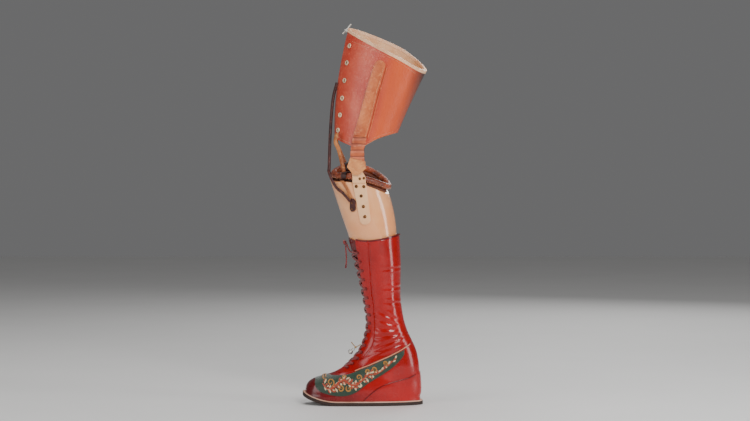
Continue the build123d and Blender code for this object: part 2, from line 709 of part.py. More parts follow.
def make_tie_cord():
    """White cord drawn across the top of the opening, knotted in the middle."""
    points = [(-80.6, -17, 254), (-84.0, -9, 255), (-84.0, 9, 255), (-80.6, 17, 254)]
    run = tube_along(points, arc_radii(points), 1.3)
    knot = Pos(-84.2, 0, 255) * Sphere(3.2)
    ends = rod((-84.2, 0, 255), (-77.6, 3, 270.6), 1.3) + rod((-84.2, 0, 255), (-88.8, -4, 247.4), 1.3)
    return run + knot + ends


# ---------------------------------------------------------------- assembly
def build_thigh():
    trim = rim() & above_curve(HEM_LINE)
    pieces = {
        "corset_shell": make_corset_shell(trim),
        "corset_lining": make_corset_lining(trim),
        "corset_rim_binding": make_corset_rim_binding(),
        "corset_eyelets": make_corset_eyelets(),
        "corset_tongue": make_corset_tongue(trim),
        "tie_cord": make_tie_cord(),
    }
    for name, side in SIDES.items():
        pieces["upper_bar_" + name] = make_upper_bar(side)
        pieces["bar_cover_" + name] = make_bar_cover(side)
        pieces["bar_wrap_" + name] = make_bar_wrap(side)
        pieces["joint_cap_" + name] = make_joint_cap(side)
    for name, shape in pieces.items():
        parts[name] = thigh(shape)


def build_shank():
    brim = under_brim()
    parts["shin_shell"] = make_shin_shell(brim)
    parts["socket_liner"] = make_socket_liner(brim)
    parts["brim_roll"] = make_brim_roll()
    parts["ankle_block"] = make_ankle_block()
    parts["ankle_bolt"] = make_ankle_bolt()
    for name, side in SIDES.items():
        parts["lower_bar_" + name] = make_lower_bar(side)
        parts["lower_rivets_" + name] = make_lower_rivets(side)
        parts["knee_pin_" + name] = make_knee_pin(side)
        parts["roll_loop_" + name] = make_roll_loop(side)
        parts["strap_tab_" + name] = make_strap_tab(side)
        parts["tab_nails_" + name] = make_tab_nails(side)
        parts["anchor_strap_" + name] = make_anchor_strap(side)
        parts["front_strap_" + name] = make_front_strap(side)
        parts["side_strap_" + name] = make_side_strap(side)


def build_boot():
    wall = make_boot_wall()
    over_seam = above_curve(SEAM_LINE)
    cap_region = toe_side()
    parts["boot_shaft"] = (wall & over_seam) - front_opening()
    parts["boot_vamp"] = (wall - over_seam) - cap_region
    parts["boot_toe_cap"] = (wall - over_seam) & cap_region
    parts["silk_panel"] = make_silk_panel()
    facing = skin(BOOT, GAP, 1.3) & facing_side() & below_curve(TOP_LINE)
    parts["lacing_facing"] = facing - front_opening()
    parts["boot_tongue"] = make_boot_tongue()
    parts["boot_lace"] = make_boot_lace()
    parts["lace_bow"] = make_lace_bow()
    parts["lace_tail_medial"] = make_lace_tail(-1)
    parts["lace_tail_lateral"] = make_lace_tail(1)
    parts["boot_top_binding"] = make_top_binding()
    parts["wedge_heel"] = make_wedge_heel()
    parts["outsole"] = make_outsole()
    parts["welt"] = make_welt()
    parts["insole"] = make_insole()
    parts["foot_block"] = make_foot_block()
    parts["bell"] = make_bell()
    parts["bell_pellet"] = Pos(*BELL_CENTRE) * Pos(0, 0, -2.5) * Sphere(1.6)
    parts["bell_ribbon"] = make_bell_ribbon()


def main():
    build_thigh()
    build_shank()
    build_boot()
    os.makedirs("parts", exist_ok=True)
    for name, shape in parts.items():
        export_step(shape, f"parts/{name}.step")


if __name__ == "__main__":
    main()
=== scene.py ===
"""Looks for the below-knee prosthetic leg: leather corset, painted shell, patent boot.

Lengths in the tables and helpers are millimetres and become metres where a mesh is made.
"""
import json
import math

import bmesh
import bpy
import numpy as np
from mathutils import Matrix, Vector


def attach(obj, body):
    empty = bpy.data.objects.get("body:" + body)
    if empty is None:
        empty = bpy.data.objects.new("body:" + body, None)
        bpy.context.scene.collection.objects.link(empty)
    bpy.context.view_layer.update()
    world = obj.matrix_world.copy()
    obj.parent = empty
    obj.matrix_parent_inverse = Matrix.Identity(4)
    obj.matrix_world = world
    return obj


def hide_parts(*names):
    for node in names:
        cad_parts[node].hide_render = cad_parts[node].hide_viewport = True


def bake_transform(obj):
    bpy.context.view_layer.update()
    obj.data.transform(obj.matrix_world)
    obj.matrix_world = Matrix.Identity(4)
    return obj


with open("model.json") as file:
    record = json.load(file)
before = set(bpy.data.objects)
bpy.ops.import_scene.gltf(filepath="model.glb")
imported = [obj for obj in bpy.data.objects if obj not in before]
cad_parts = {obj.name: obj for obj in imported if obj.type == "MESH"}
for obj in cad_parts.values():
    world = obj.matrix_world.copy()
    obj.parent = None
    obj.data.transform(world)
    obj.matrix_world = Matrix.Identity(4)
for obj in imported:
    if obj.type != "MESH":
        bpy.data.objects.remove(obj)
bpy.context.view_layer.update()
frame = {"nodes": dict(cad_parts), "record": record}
MM = 0.001
KNEE = 478
TILT = math.radians(14)
SIDES = {"medial": -1, "lateral": 1}

# ------------------------------------------------------------------ surfaces
# height, front x, back x, half width, pinch, fullness: the same slices as the frame's
SHANK = [(118, 23, 103, 29, .12, 1), (143, 24.5, 96, 29.7, .12, 1), (168, 25, 91, 30.5, .12, 1),
         (203, 19, 87, 32.8, .12, 1), (238, 13, 84, 35, .12, 1), (284, 1, 84, 39, .12, 1),
         (328, -12, 82, 43.5, .12, 1), (368, -25.5, 78.5, 47, .10, 1), (408, -39, 70, 49, .06, 1),
         (440, -49, 60, 49, .03, 1), (475, -60, 48, 48.5, 0, 1)]
BOOT = [(2, -99, 130, 41, -.14, .80), (24, -102.5, 130, 42, -.14, .80), (40, -98, 130, 41, -.12, .82),
        (50, -87, 129.5, 39.5, -.07, .85), (57, -66, 129, 38, 0, .88), (64, -44, 128, 37, .06, .90),
        (73, -28, 127, 36, .10, .92), (88, -12, 125, 34.5, .12, .95), (106, 3.5, 121, 33.5, .13, 1),
        (120, 11, 115.5, 33, .12, 1), (134, 15.5, 108.5, 32.5, .12, 1), (150, 19, 101.5, 33, .12, 1),
        (168, 20, 96, 34.5, .12, 1), (188, 17.2, 92.3, 36, .12, 1), (208, 14, 89.5, 37.5, .12, 1),
        (238, 8, 89, 39.5, .12, 1), (261, 2, 89.3, 41.5, .12, 1), (284, -4, 89.5, 43.5, .12, 1),
        (305, -10.3, 88.6, 45.2, .12, 1), (326, -16.5, 87.5, 46.9, .12, 1), (346, -22.5, 86.5, 48.5, .12, 1)]
CORSET = [(20, -50, 54, 53, .16, 1), (50, -58, 60.5, 56, .18, 1), (90, -67.5, 66.5, 60.5, .20, 1),
          (145, -76, 76, 66.5, .23, 1), (205, -80.5, 88.5, 72.5, .25, 1), (280, -80, 103, 79, .25, 1)]
# valleys pressed into the boot: height, x, slope, length along x, half width, depth
CREASES = [(272, 74, .10, 22, 2.4, .55), (234, 74, .06, 20, 2.4, .6), (204, 74, -.1, 20, 2.6, .7),
           (180, 62, -.45, 24, 3.4, .9), (166, 60, -.35, 24, 3.2, .9), (152, 66, -.1, 26, 3.2, 1.0),
           (138, 58, .15, 34, 3.4, 1.5), (124, 66, .45, 30, 3.4, 1.6), (112, 58, .35, 30, 3.0, 1.2),
           (128, 34, -.45, 16, 2.8, 1.0), (148, 38, -.5, 14, 2.8, .7)]


def hermite(rows, z):
    """Each column of a slice table at height z, smooth through the rows."""
    rows = np.asarray(rows, float)
    h, v = rows[:, 0], rows[:, 1:]
    z = min(max(z, h[0]), h[-1])
    i = min(int(np.searchsorted(h, z, "right")) - 1, len(h) - 2)
    d = (v[1:] - v[:-1]) / (h[1:] - h[:-1])[:, None]
    m0 = d[i] if i == 0 else (d[i - 1] + d[i]) / 2
    m1 = d[i] if i == len(d) - 1 else (d[i] + d[i + 1]) / 2
    step = h[i + 1] - h[i]
    t = (z - h[i]) / step
    return ((2 * t**3 - 3 * t**2 + 1) * v[i] + (t**3 - 2 * t**2 + t) * step * m0
            + (3 * t**2 - 2 * t**3) * v[i + 1] + (t**3 - t**2) * step * m1)


class Surface:
    """A skin through a slice table. turn 0 is the front, +90 degrees the lateral side."""

    def __init__(self, rows, relief=None, place=None):
        self.rows, self.relief, self.place = rows, relief, place
        self.kept = {}

    def row(self, z):
        key = round(z, 2)
        if key not in self.kept:
            self.kept[key] = hermite(self.rows, z)
        return self.kept[key]

    def raw(self, z, turn, grow=0.0):
        front, back, half, pinch, full = self.row(z)
        c, s = math.cos(turn), math.sin(turn)
        x = (front + back) / 2 - ((back - front) / 2 + grow) * math.copysign(abs(c) ** full, c)
        y = (half + grow) * math.copysign(abs(s) ** full, s) * (1 - pinch * c)
        return np.array((x, y, z))

    def normal(self, z, turn):
        low, high = self.rows[0][0], self.rows[-1][0]
        z0, z1 = max(z - 1, low), min(z + 1, high)
        across = self.raw(z, turn + .02) - self.raw(z, turn - .02)
        up = self.raw(z1, turn) - self.raw(z0, turn)
        n = np.cross(across, up)
        n = n / (np.linalg.norm(n) or 1)
        outward = self.raw(z, turn, 1) - self.raw(z, turn)
        return n if n @ outward > 0 else -n

    def at(self, z, turn, lift=0.0):
        p = self.raw(z, turn)
        n = self.normal(z, turn)
        if self.relief:
            lift = lift + self.relief(p)
        return p + n * lift

    def turn_of(self, x, z, side):
        front, back, half, pinch, full = self.row(z)
        c = ((front + back) / 2 - x) / ((back - front) / 2)
        c = max(-1, min(1, c))
        return side * math.acos(math.copysign(abs(c) ** (1 / full), c))

    def turn_at_y(self, y, z):
        """The turn in front where the skin is |y| from the middle plane."""
        low, high = 0.0, math.pi / 2
        for _ in range(24):
            mid = (low + high) / 2
            low, high = (mid, high) if abs(self.raw(z, mid)[1]) < abs(y) else (low, mid)
        return low

    def out(self, p):
        return self.place(p) if self.place else p


def boot_relief(p):
    x, y, z = p
    total = 0.0
    for height, x0, slope, length, width, depth in CREASES:
        d = (z - height - slope * (x - x0) * (1 if y < 0 else .8)) / width
        if abs(d) < 4:
            window = math.exp(-((x - x0) / length) ** 2)
            total += window * depth * (.55 * math.exp(-((abs(d) - 1.9) / 1.1) ** 2) - math.exp(-d * d))
    return total


def thigh(p):
    x, y, z = p
    c, s = math.cos(TILT), math.sin(TILT)
    return np.array((x * c + z * s, y, KNEE - x * s + z * c))


shank, boot = Surface(SHANK), Surface(BOOT, boot_relief)
corset = Surface(CORSET, None, thigh)


def curve(points):
    """A smooth side-view curve: z for any x, through the points."""
    rows = sorted(points)
    return lambda x: float(hermite(rows, x)[0])


def path_through(points, count):
    """count points on a smooth line through the given ones."""
    p = np.asarray(points, float)
    rows = [(i, *q) for i, q in enumerate(p)]
    return [hermite(rows, i * (len(p) - 1) / (count - 1)) for i in range(count)]


# ------------------------------------------------------------------ meshes
def make(name, points, faces, smooth=True):
    mesh = bpy.data.meshes.new(name)
    mesh.from_pydata([tuple(float(v) * MM for v in p) for p in points], [], faces)
    mesh.update()
    if smooth:
        mesh.shade_smooth()
    obj = bpy.data.objects.new(name, mesh)
    bpy.context.scene.collection.objects.link(obj)
    return obj


def finish_piece(obj, body, material, replaces=()):
    obj.data.materials.append(material)
    if body:
        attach(obj, body)
    if replaces:
        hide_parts(*replaces)
    return obj


def grid_faces(rows, columns, wrap, offset=0, flip=False):
    faces = []
    for i in range(rows - 1):
        for j in range(columns if wrap else columns - 1):
            k = (j + 1) % columns
            quad = (offset + i * columns + j, offset + i * columns + k,
                    offset + (i + 1) * columns + k, offset + (i + 1) * columns + j)
            faces.append(quad[::-1] if flip else quad)
    return faces


def shell(name, outer, inner, wrap=False):
    """A closed skin from two grids of points, with its edges rounded by a middle ring."""
    rows, columns = len(outer), len(outer[0])
    points = [p for line in outer for p in line] + [p for line in inner for p in line]
    n = rows * columns
    faces = grid_faces(rows, columns, wrap) + grid_faces(rows, columns, wrap, n, True)
    ends = [(list(range(columns)), 0, 1), (list(range((rows - 1) * columns, n)), rows - 1, rows - 2)]
    loops = [(ids, [outer[r][j] - outer[r2][j] for j in range(columns)], wrap) for ids, r, r2 in ends]
    if not wrap:
        for j, j2 in ((0, 1), (columns - 1, columns - 2)):
            column = [i * columns + j for i in range(rows)]
            away = [outer[i][j] - outer[i][j2] for i in range(rows)]
            loops.append((column, away, False))
    for ids, away, closed in loops:
        start = len(points)
        for i, d in zip(ids, away):
            a, b = np.asarray(points[i]), np.asarray(points[i + n])
            d = d / (np.linalg.norm(d) or 1)
            points.append((a + b) / 2 + d * min(np.linalg.norm(a - b) * .35, 1.2))
        count = len(ids)
        for k in range(count if closed else count - 1):
            m = (k + 1) % count
            faces.append((ids[k], ids[m], start + m, start + k))
            faces.append((start + k, start + m, ids[m] + n, ids[k] + n))
    obj = make(name, points, faces)
    fix_normals(obj)
    return obj


def fix_normals(obj):
    b = bmesh.new()
    b.from_mesh(obj.data)
    bmesh.ops.remove_doubles(b, verts=b.verts, dist=1e-6)
    bmesh.ops.recalc_face_normals(b, faces=b.faces)
    b.to_mesh(obj.data)
    b.free()
    obj.data.shade_smooth()


def skin_piece(name, surface, domain, nu, nv, lift, thickness, wrap=False):
    """domain(u, v) gives (z, turn); the piece lies lift above the surface and is thickness deep."""
    outer, inner = [], []
    for i in range(nv):
        row_o, row_i = [], []
        for j in range(nu):
            u = j / nu if wrap else j / (nu - 1)
            z, turn = domain(u, i / (nv - 1))
            row_o.append(surface.out(surface.at(z, turn, lift)))
            row_i.append(surface.out(surface.at(z, turn, lift - thickness)))
        outer.append(row_o)
        inner.append(row_i)
    return shell(name, outer, inner, wrap)


def sweep(name, line, normals, profile, closed=False, widths=None):
    """Carries a flat profile, (across, out) pairs, along a line whose outward normals are given."""
    line = [np.asarray(p, float) for p in line]
    n = len(line)
    points, faces = [], []
    for i in range(n):
        a = line[(i - 1) % n] if (closed or i) else line[0]
        b = line[(i + 1) % n] if (closed or i < n - 1) else line[-1]
        along = (b - a) / (np.linalg.norm(b - a) or 1)
        out = np.asarray(normals[i], float)
        out = out - along * (out @ along)
        out = out / (np.linalg.norm(out) or 1)
        side = np.cross(along, out)
        k = widths[i] if widths else 1.0
        for across, up in profile:
            points.append(line[i] + side * across * k + out * up * (k if widths else 1))
    m = len(profile)
    for i in range(n if closed else n - 1):
        for j in range(m):
            a, b = i * m + j, i * m + (j + 1) % m
            c, d = ((i + 1) % n) * m + (j + 1) % m, ((i + 1) % n) * m + j
            faces.append((a, b, c, d))
    if not closed:
        faces += [tuple(range(m))[::-1], tuple((n - 1) * m + j for j in range(m))]
    obj = make(name, points, faces)
    fix_normals(obj)
    return obj


def round_profile(radius, count=10, flat=1.0):
    return [(radius * math.cos(2 * math.pi * k / count), flat * radius * math.sin(2 * math.pi * k / count))
            for k in range(count)]


def strap_profile(width, thick):
    w, t, r = width / 2, thick / 2, thick * .3
    return [(-w, -t + r), (-w + r, -t), (w - r, -t), (w, -t + r), (w, t - r), (w - r, t),
            (0, t * 1.12), (-w + r, t), (-w, t - r)]


def on(surface, line_and_side, lift, count):
    """Points and normals along a side-view line of x, z on one side of a surface."""
    points, side = line_and_side
    line = path_through(points, count)
    where, out = [], []
    for x, z in line:
        turn = surface.turn_of(x, z, side)
        where.append(surface.out(surface.at(z, turn, lift)))
        tip = surface.out(surface.at(z, turn, lift + 1))
        out.append(tip - where[-1])
    return where, out


def stitches(name, lines, pitch, length, radius, body, material):
    """Short raised threads along lines of points with normals."""
    points, faces = [], []
    for where, out in lines:
        where = [np.asarray(p) for p in where]
        travel = [0.0]
        for a, b in zip(where, where[1:]):
            travel.append(travel[-1] + np.linalg.norm(b - a))
        at = pitch / 2
        while at < travel[-1] - length / 2:
            i = min(int(np.searchsorted(travel, at)), len(where) - 1)
            a, b = where[i - 1], where[i]
            f = (at - travel[i - 1]) / ((travel[i] - travel[i - 1]) or 1)
            centre, along = a + (b - a) * f, (b - a) / (np.linalg.norm(b - a) or 1)
            n = np.asarray(out[i]) / (np.linalg.norm(out[i]) or 1)
            side = np.cross(along, n)
            start = len(points)
            for t, r in ((-.5, .35), (-.3, .95), (0, 1.1), (.3, .95), (.5, .35)):
                for k in range(6):
                    angle = math.pi * 2 * k / 6
                    spoke = side * math.cos(angle) + n * math.sin(angle)
                    points.append(centre + along * t * length + spoke * radius * r)
            for q in range(4):
                for k in range(6):
                    m = (k + 1) % 6
                    here, there = start + q * 6, start + q * 6 + 6
                    faces.append((here + k, here + m, there + m, there + k))
            faces += [tuple(start + k for k in range(6))[::-1], tuple(start + 24 + k for k in range(6))]
            at += pitch
    return finish_piece(make(name, points, faces), body, material)


# ------------------------------------------------------------------ materials
def linear(rgb):
    return tuple(((c / 255 + .055) / 1.055) ** 2.4 for c in rgb) + (1,)


class Look:
    """A material in the making. Each call adds one node and returns its output."""

    def __init__(self, name, roughness=.5, **sockets):
        self.material = bpy.data.materials.new(name)
        self.material.use_nodes = True
        self.tree = self.material.node_tree
        self.shader = self.tree.nodes["Principled BSDF"]
        self.shader.inputs["Roughness"].default_value = roughness
        for socket, value in sockets.items():
            self.shader.inputs[socket.replace("_", " ")].default_value = value
        self.place = self.tree.nodes.new("ShaderNodeTexCoord").outputs["Object"]

    def put(self, value, socket):
        if isinstance(value, bpy.types.NodeSocket):
            self.tree.links.new(value, socket)
        else:
            socket.default_value = value

    def noise(self, scale, detail=4, rough=.6, stretch=None):
        node = self.tree.nodes.new("ShaderNodeTexNoise")
        self.put(self.stretched(stretch), node.inputs["Vector"])
        for socket, value in (("Scale", scale), ("Detail", detail), ("Roughness", rough)):
            node.inputs[socket].default_value = value
        return node.outputs["Fac"]

    def cells(self, scale, feature="F1"):
        node = self.tree.nodes.new("ShaderNodeTexVoronoi")
        node.feature = feature
        self.put(self.place, node.inputs["Vector"])
        node.inputs["Scale"].default_value = scale
        return node.outputs["Distance"]

    def waves(self, scale, direction="DIAGONAL", distortion=1.0, stretch=None):
        node = self.tree.nodes.new("ShaderNodeTexWave")
        node.bands_direction = direction
        self.put(self.stretched(stretch), node.inputs["Vector"])
        node.inputs["Scale"].default_value = scale
        node.inputs["Distortion"].default_value = distortion
        return node.outputs["Fac"]

    def stretched(self, stretch):
        if not stretch:
            return self.place
        node = self.tree.nodes.new("ShaderNodeMapping")
        self.put(self.place, node.inputs["Vector"])
        node.inputs["Scale"].default_value = stretch
        return node.outputs["Vector"]

    def along(self, direction, low, high):
        """0 to 1 as a point's distance along a direction goes from low to high, in millimetres."""
        dot = self.tree.nodes.new("ShaderNodeVectorMath")
        dot.operation = "DOT_PRODUCT"
        self.put(self.place, dot.inputs[0])
        dot.inputs[1].default_value = direction
        return self.ranged(dot.outputs["Value"], low * MM, high * MM)

    def ranged(self, value, low, high, to_low=0.0, to_high=1.0):
        node = self.tree.nodes.new("ShaderNodeMapRange")
        for socket, v in zip(node.inputs, (value, low, high, to_low, to_high)):
            self.put(v, socket)
        return node.outputs["Result"]

    def maths(self, operation, a, b=0.0):
        node = self.tree.nodes.new("ShaderNodeMath")
        node.operation = operation
        self.put(a, node.inputs[0])
        self.put(b, node.inputs[1])
        return node.outputs["Value"]

    def mix(self, factor, a, b):
        node = self.tree.nodes.new("ShaderNodeMix")
        node.data_type = "RGBA"
        for socket, v in ((node.inputs["Factor"], factor), (node.inputs[6], a), (node.inputs[7], b)):
            self.put(linear(v) if isinstance(v, tuple) else v, socket)
        return node.outputs[2]

    def colour(self, value):
        self.put(value, self.shader.inputs["Base Color"])

    def bump(self, height, depth, strength=1.0):
        node = self.tree.nodes.new("ShaderNodeBump")
        node.inputs["Strength"].default_value = strength
        node.inputs["Distance"].default_value = depth * MM
        self.put(height, node.inputs["Height"])
        self.put(node.outputs["Normal"], self.shader.inputs["Normal"])

    def rough(self, value, low, high):
        self.put(self.ranged(value, .3, .7, low, high), self.shader.inputs["Roughness"])


def leather(name, base, dark, light=None, roughness=.5, grain=520, depth=.35, blotch=26, coat=0.0):
    look = Look(name, roughness, Coat_Weight=coat, Coat_Roughness=.2)
    patches, fine = look.noise(blotch), look.noise(160, 6)
    colour = look.mix(look.ranged(patches, .35, .65), dark, base)
    if light:
        colour = look.mix(look.ranged(fine, .52, .75, 0, .7), colour, light)
    pores = look.cells(grain)
    look.colour(look.mix(look.ranged(pores, .0, .25, .35, 0), colour, dark))
    look.bump(look.maths("ADD", pores, look.maths("MULTIPLY", fine, .6)), depth)
    look.rough(fine, roughness * 1.2, roughness * .8)
    return look


def corset_look():
    """Tan cow hide: salmon in front of the bar, orange behind it, darkened towards the rear edge by painted
    shade.
    """
    look = leather("corset_hide", (204, 84, 58), (184, 56, 36), (218, 112, 82), .4, 480, .3, 18, .2)
    base = look.shader.inputs["Base Color"].links[0].from_socket
    forward = (math.cos(TILT), 0, -math.sin(TILT))
    offset = KNEE * math.sin(TILT)
    behind = look.along(forward, -offset + 8, -offset + 26)
    orange = look.mix(look.noise(22), (190, 62, 8), (216, 86, 18))
    zones = look.mix(behind, base, orange)
    # painted shade: the hide darkens to near black towards its rear edge, where it turns away from the lamps
    rear = look.along(forward, -offset + 58, -offset + 86)
    look.colour(look.mix(look.maths("MULTIPLY", rear, .95), zones, (52, 16, 6)))
    return look.material


def patent_look(name, base, dark):
    look = Look(name, .2, Coat_Weight=.45, Coat_Roughness=.08, Specular_IOR_Level=.3)
    broad, fine = look.noise(14, 3), look.noise(60, 5, .55)
    look.colour(look.mix(look.ranged(broad, .3, .7), dark, base))
    folds = look.noise(38, 3, .5, (1, 1, 2.6))
    look.bump(look.maths("ADD", folds, look.maths("MULTIPLY", fine, .25)), .7, .4)
    look.rough(fine, .32, .2)
    return look


def boot_look():
    """Red patent, darker over the toe and in a band above the sole."""
    look = patent_look("boot_patent", (176, 3, 3), (142, 1, 2))
    red = look.shader.inputs["Base Color"].links[0].from_socket
    toe, foot = look.along((-1, 0, 0), 8, 66), look.along((0, 0, -1), -46, -20)
    front = look.along((-1, 0, 0), -70, 10)
    band = look.maths("MULTIPLY", look.maths("MULTIPLY", foot, front), .8)
    low = look.along((0, 0, -1), -84, -62)
    shade = look.maths("MULTIPLY", look.maths("MAXIMUM", look.maths("MULTIPLY", toe, low), band), .9)
    look.colour(look.mix(shade, red, (92, 4, 10)))
    return look.material


def wrap_look():
    """Hide wound in narrow turns, with painted shade as a dark line in the groove between them."""
    look = leather("wrap_hide", (204, 104, 58), (150, 58, 26), (228, 146, 100), .45, 420, .3)
    base = look.shader.inputs["Base Color"].links[0].from_socket
    turns = look.waves(26, "Z", .7)
    # painted shade: darkens the troughs between the turns, where the bump sinks
    look.colour(look.mix(look.ranged(turns, .0, .18, .75, 0), base, (96, 34, 14)))
    look.bump(turns, .7)
    return look.material


def painted_look(name, base, light):
    """Flesh lacquer with faint specks of wear."""
    look = Look(name, .2, Coat_Weight=.7, Coat_Roughness=.08)
    patches, specks = look.noise(12), look.noise(210, 5)
    colour = look.mix(look.ranged(patches, .35, .65), base, light)
    colour = look.mix(look.ranged(specks, .66, .74, 0, .5), colour, (196, 112, 66))
    look.colour(colour)
    look.bump(look.maths("ADD", look.noise(28, 2), look.maths("MULTIPLY", specks, .12)), .5, .4)
    look.rough(specks, .28, .16)
    return look.material


def metal_look(name, base, roughness, scratch=(1, 1, 12), metallic=1.0):
    look = Look(name, roughness, Metallic=metallic)
    lines, spots = look.noise(140, 6, .6, scratch), look.noise(45)
    dark = tuple(int(c * .72) for c in base)
    look.colour(look.mix(look.ranged(spots, .35, .7), dark, base))
    look.bump(lines, .08, .6)
    look.rough(spots, roughness * 1.3, roughness * .75)
    return look.material


def woven_look(name, base, dark, scale=900, roughness=.75, depth=.25, sheen=.3):
    look = Look(name, roughness, Sheen_Weight=sheen)
    weave = look.maths("MULTIPLY", look.waves(scale, "X", .6), look.waves(scale, "Z", .6))
    look.colour(look.mix(look.ranged(weave, .1, .6), dark, base))
    look.bump(weave, depth)
    return look.material


def rubber_look(name, base, dark):
    look = Look(name, .7)
    specks = look.noise(300, 6, .7)
    look.colour(look.mix(look.ranged(specks, .4, .65), dark, base))
    look.bump(look.maths("ADD", look.waves(260, "Z", .8), specks), .25, .6)
    return look.material


def wood_look():
    look = Look("carved_wood", .55)
    rings = look.waves(70, "X", 5, (1, 1, .2))
    look.colour(look.mix(rings, (168, 118, 72), (206, 160, 108)))
    look.bump(rings, .15)
    return look.material


LOOKS = {
    "corset_leather": corset_look(),
    "lining_leather": leather("lining_hide", (240, 196, 150), (218, 158, 108), None, .6, 600, .2).material,
    "rim_binding": leather("binding_hide", (242, 200, 160), (222, 162, 118), None, .5, 600, .2).material,
    "eyelet_metal": metal_look("eyelet_brass", (250, 222, 186), .42, metallic=.35),
    "white_cord": woven_look("white_cord", (240, 236, 228), (196, 190, 180), 700),
    "steel": metal_look("joint_steel", (176, 172, 168), .3),
    "bar_leather": leather("cover_hide", (222, 122, 66), (180, 78, 34), (238, 154, 98),
                           .42, 500, .3, 22, .2).material,
    "wrap_leather": wrap_look(),
    "cap_leather": leather("cap_hide", (222, 146, 82), (184, 100, 50), (240, 180, 120),
                           .42, 480, .3, 22, .25).material,
    "bar_paint": painted_look("bar_lacquer", (240, 170, 112), (248, 196, 146)),
    "rivet_steel": metal_look("rivet_brass", (126, 84, 52), .38),
    "dark_strap": leather("dark_strap_hide", (70, 20, 12), (38, 10, 6), (120, 50, 36), .5, 520, .3).material,
    "tan_strap": leather("tan_strap_hide", (196, 120, 62), (140, 70, 30), (226, 160, 100),
                         .5, 520, .3).material,
    "shell_paint": painted_look("shell_lacquer", (236, 154, 98), (244, 176, 122)),
    "liner_leather": leather("liner_hide", (120, 62, 38), (72, 34, 22), None, .65, 520, .3).material,
    "roll_leather": leather("roll_hide", (162, 72, 36), (84, 30, 14), (206, 116, 70),
                            .4, 420, .5, 34, .2).material,
    "wood": wood_look(),
    "boot_red": boot_look(),
    "boot_dark_red": patent_look("toe_patent", (112, 8, 14), (78, 3, 8)).material,
    "green_silk": woven_look("green_satin", (6, 66, 34), (2, 34, 18), 1100, .38, .15, .4),
    "red_lace": woven_look("red_lace", (178, 12, 12), (104, 2, 4), 900, .6),
    "sole_brown": rubber_look("sole_rubber", (58, 36, 26), (34, 20, 14)),
    "welt_tan": leather("welt_hide", (228, 184, 160), (196, 146, 120), None, .6, 600, .2).material,
    "insole_tan": leather("insole_hide", (212, 172, 132), (180, 136, 98), None, .7, 500, .2).material,
    "bell_silver": metal_look("bell_silver", (226, 222, 214), .3, metallic=.8),
    "gold_ribbon": woven_look("gold_ribbon", (218, 164, 62), (150, 100, 26), 1200, .4, .2, .6),
}
THREADS = {name: woven_look(name + "_thread", colour, dark, 2000, .5) for name, colour, dark in (
    ("cream", (246, 226, 190), (206, 176, 130)), ("gold", (222, 158, 44), (156, 92, 12)),
    ("orange", (212, 82, 18), (150, 40, 6)), ("red", (140, 8, 8), (90, 4, 4)),
    ("tan", (250, 196, 150), (210, 140, 100)))}


# ------------------------------------------------------------------ camera, light and floor
LAMPS = (("key", (.9, -2.6, 1.7), (1.2, 1.2), 64), ("fill", (-2.2, -1.8, 1.0), (1.6, 1.6), 26),
         ("top", (-.1, .3, 2.4), (1.6, 1.6), 22), ("back", (1.0, 2.4, 1.4), (1.2, 1.2), 16),
         ("strip", (1.9, -.75, .5), (.5, 1.3), 15))


def make_stage():
    scene = bpy.context.scene
    target, elevation, distance = Vector((.038, 0, .387)), math.radians(1.5), 4.0
    data = bpy.data.cameras.new("camera")
    data.lens, data.sensor_width = 96, 36
    camera = bpy.data.objects.new("camera", data)
    camera.location = target + Vector((0, -math.cos(elevation), math.sin(elevation))) * distance
    camera.rotation_euler = (target - camera.location).to_track_quat("-Z", "Y").to_euler()
    scene.collection.objects.link(camera)
    scene.camera = camera
    for name, place, size, power in LAMPS:
        light = bpy.data.lights.new(name, "AREA")
        light.shape = "RECTANGLE"
        light.size, light.size_y, light.energy = *size, power
        lamp = bpy.data.objects.new(name, light)
        lamp.location = place
        lamp.rotation_euler = (Vector((0, 0, .38)) - Vector(place)).to_track_quat("-Z", "Y").to_euler()
        scene.collection.objects.link(lamp)
    world = bpy.data.worlds.new("studio")
    world.use_nodes = True
    world.node_tree.nodes["Background"].inputs[0].default_value = (.86, .86, .87, 1)
    world.node_tree.nodes["Background"].inputs[1].default_value = .17
    scene.world = world
    look = Look("floor_paint", .6)
    look.colour(look.mix(look.noise(3), (232, 231, 229), (240, 239, 237)))
    half = 6000
    floor = make("floor", [(-half, -half, -.3), (half, -half, -.3), (half, half, -.3), (-half, half, -.3)],
                 [(0, 1, 2, 3)], False)
    floor.data.materials.append(look.material)


# ------------------------------------------------------------------ lace, bow and tails
BOW = (-18.5, 0, 322)
TAIL_RADIUS = 1.3


def make_lace_tail(side, name):
    """A free end of the lace; its route is the frame's."""
    x, z = BOW[0], BOW[2]
    route = [(x - 2, side * 4, z - 4), (x - 1.5, side * 8, z - 18), (x, side * 9, z - 36),
             (x - 2, side * 11, z - 50)]
    data = bpy.data.curves.new("lace_end_" + name, "CURVE")
    data.dimensions = "3D"
    data.bevel_depth = TAIL_RADIUS * MM
    data.resolution_u = 16
    spline = data.splines.new("NURBS")
    spline.points.add(len(route) - 1)
    for point, place in zip(spline.points, route):
        point.co = (*[v * MM for v in place], 1)
    spline.order_u = 3
    spline.use_endpoint_u = True
    tail = bpy.data.objects.new("lace_end_" + name, data)
    bpy.context.scene.collection.objects.link(tail)
    finish_piece(tail, "shank", LOOKS["red_lace"], ["lace_tail_" + name])
    end = np.array(route[-1], float)
    down = (end - np.array(route[-2])) / np.linalg.norm(end - np.array(route[-2]))
    ends = [end - down * 7, end - down * 6.6, end - down * .6, end]
    tip = sweep("lace_tag_" + name, ends, [(0, -1, 0)] * 4,
                round_profile(TAIL_RADIUS + .35, 14), widths=[.9, 1, 1, .8])
    finish_piece(tip, "shank", LOOKS["boot_dark_red"])


make_stage()
for side_name, side_sign in SIDES.items():
    make_lace_tail(side_sign, side_name)


